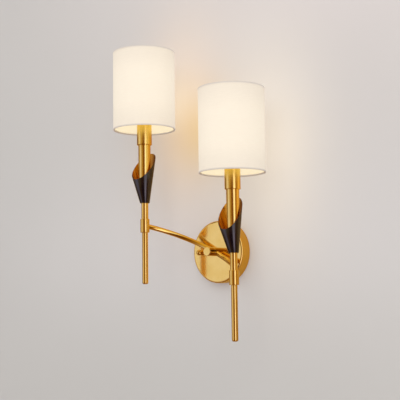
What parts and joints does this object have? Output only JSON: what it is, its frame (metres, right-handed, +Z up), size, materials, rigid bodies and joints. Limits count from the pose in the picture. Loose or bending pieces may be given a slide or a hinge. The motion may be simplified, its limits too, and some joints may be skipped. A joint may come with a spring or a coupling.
{
  "type": "double arm wall sconce",
  "caption": "Wall light with a round back plate and curved tube arms that carry candle lamps at different heights, each in a slant-cut dark cone under a white drum shade.",
  "frame": {"origin": "centre of the wall bracket's back face, on the wall, on the axis of the round back plate", "axes": "+Z up, +X to the right for someone facing the wall, +Y into the wall, so the room is towards -Y"},
  "size_m": [0.3594, 0.186, 0.5977],
  "materials": {
    "brass": "brushed and lacquered, satin gold",
    "dark_bronze": "black-brown satin outside, copper gold inside",
    "steel": "zinc plated",
    "earth_green": "green passivated",
    "holder_plastic": "matt cream white",
    "cap_metal": "bright rolled shell",
    "bulb_glass": "frosted, lit warm",
    "white_wire": "white powder coat",
    "shade_fabric": "white fine linen on a stiff liner, lit from inside"
  },
  "bodies": {
    "fixture": {"mounting_bracket": "steel", "bracket_studs": "steel", "earth_screw": "earth_green", "back_plate": "brass", "hub_nipple": "steel", "hub_washer": "steel", "hub_lock_nut": "steel", "hub_post": "brass", "hub_end_cap": "brass", "left_arm": "brass", "left_collar": "brass", "left_lower_rod": "brass", "left_threaded_tube": "steel", "left_stem_tube": "brass", "left_cone": "dark_bronze", "left_cone_nut": "steel", "left_spacer_tube": "brass", "left_candle_seat": "brass", "left_candle_tube": "brass", "left_socket_cup": "brass", "left_lamp_holder": "holder_plastic", "left_holder_contact": "brass", "right_arm": "brass", "right_collar": "brass", "right_lower_rod": "brass", "right_threaded_tube": "steel", "right_stem_tube": "brass", "right_cone": "dark_bronze", "right_cone_nut": "steel", "right_spacer_tube": "brass", "right_candle_seat": "brass", "right_candle_tube": "brass", "right_socket_cup": "brass", "right_lamp_holder": "holder_plastic", "right_holder_contact": "brass"},
    "left_bulb": {"left_bulb_cap": "cap_metal", "left_bulb_glass": "bulb_glass"},
    "left_shade": {"left_shade_fabric": "shade_fabric", "left_shade_frame": "white_wire", "left_shade_top_ring": "white_wire"},
    "left_ring_nut": {"left_shade_ring_nut": "holder_plastic"},
    "left_nut": {"left_cap_nut": "brass"},
    "right_bulb": {"right_bulb_cap": "cap_metal", "right_bulb_glass": "bulb_glass"},
    "right_shade": {"right_shade_fabric": "shade_fabric", "right_shade_frame": "white_wire", "right_shade_top_ring": "white_wire"},
    "right_ring_nut": {"right_shade_ring_nut": "holder_plastic"},
    "right_nut": {"right_cap_nut": "brass"}
  },
  "joints": [
    {"name": "left_bulb_turn", "type": "hinge", "parent": "fixture", "child": "left_bulb", "pos_m": [-0.1147, -0.121, 0.2742], "axis": [0, 0, 1], "range_deg": [0, 1080]},
    {"name": "left_shade_turn", "type": "hinge", "parent": "fixture", "child": "left_shade", "pos_m": [-0.1147, -0.121, 0.2742], "axis": [0, 0, 1], "continuous": true},
    {"name": "left_ring_nut_turn", "type": "hinge", "parent": "fixture", "child": "left_ring_nut", "pos_m": [-0.1147, -0.121, 0.2742], "axis": [0, 0, 1], "range_deg": [0, 720]},
    {"name": "left_cap_nut_turn", "type": "hinge", "parent": "fixture", "child": "left_nut", "pos_m": [-0.044, -0.026, 0], "axis": [0, -1, 0], "range_deg": [0, 3600]},
    {"name": "right_bulb_turn", "type": "hinge", "parent": "fixture", "child": "right_bulb", "pos_m": [0.1147, -0.121, 0.1626], "axis": [0, 0, 1], "range_deg": [0, 1080]},
    {"name": "right_shade_turn", "type": "hinge", "parent": "fixture", "child": "right_shade", "pos_m": [0.1147, -0.121, 0.1626], "axis": [0, 0, 1], "continuous": true},
    {"name": "right_ring_nut_turn", "type": "hinge", "parent": "fixture", "child": "right_ring_nut", "pos_m": [0.1147, -0.121, 0.1626], "axis": [0, 0, 1], "range_deg": [0, 720]},
    {"name": "right_cap_nut_turn", "type": "hinge", "parent": "fixture", "child": "right_nut", "pos_m": [0.044, -0.026, 0], "axis": [0, -1, 0], "range_deg": [0, 3600]}
  ]
}
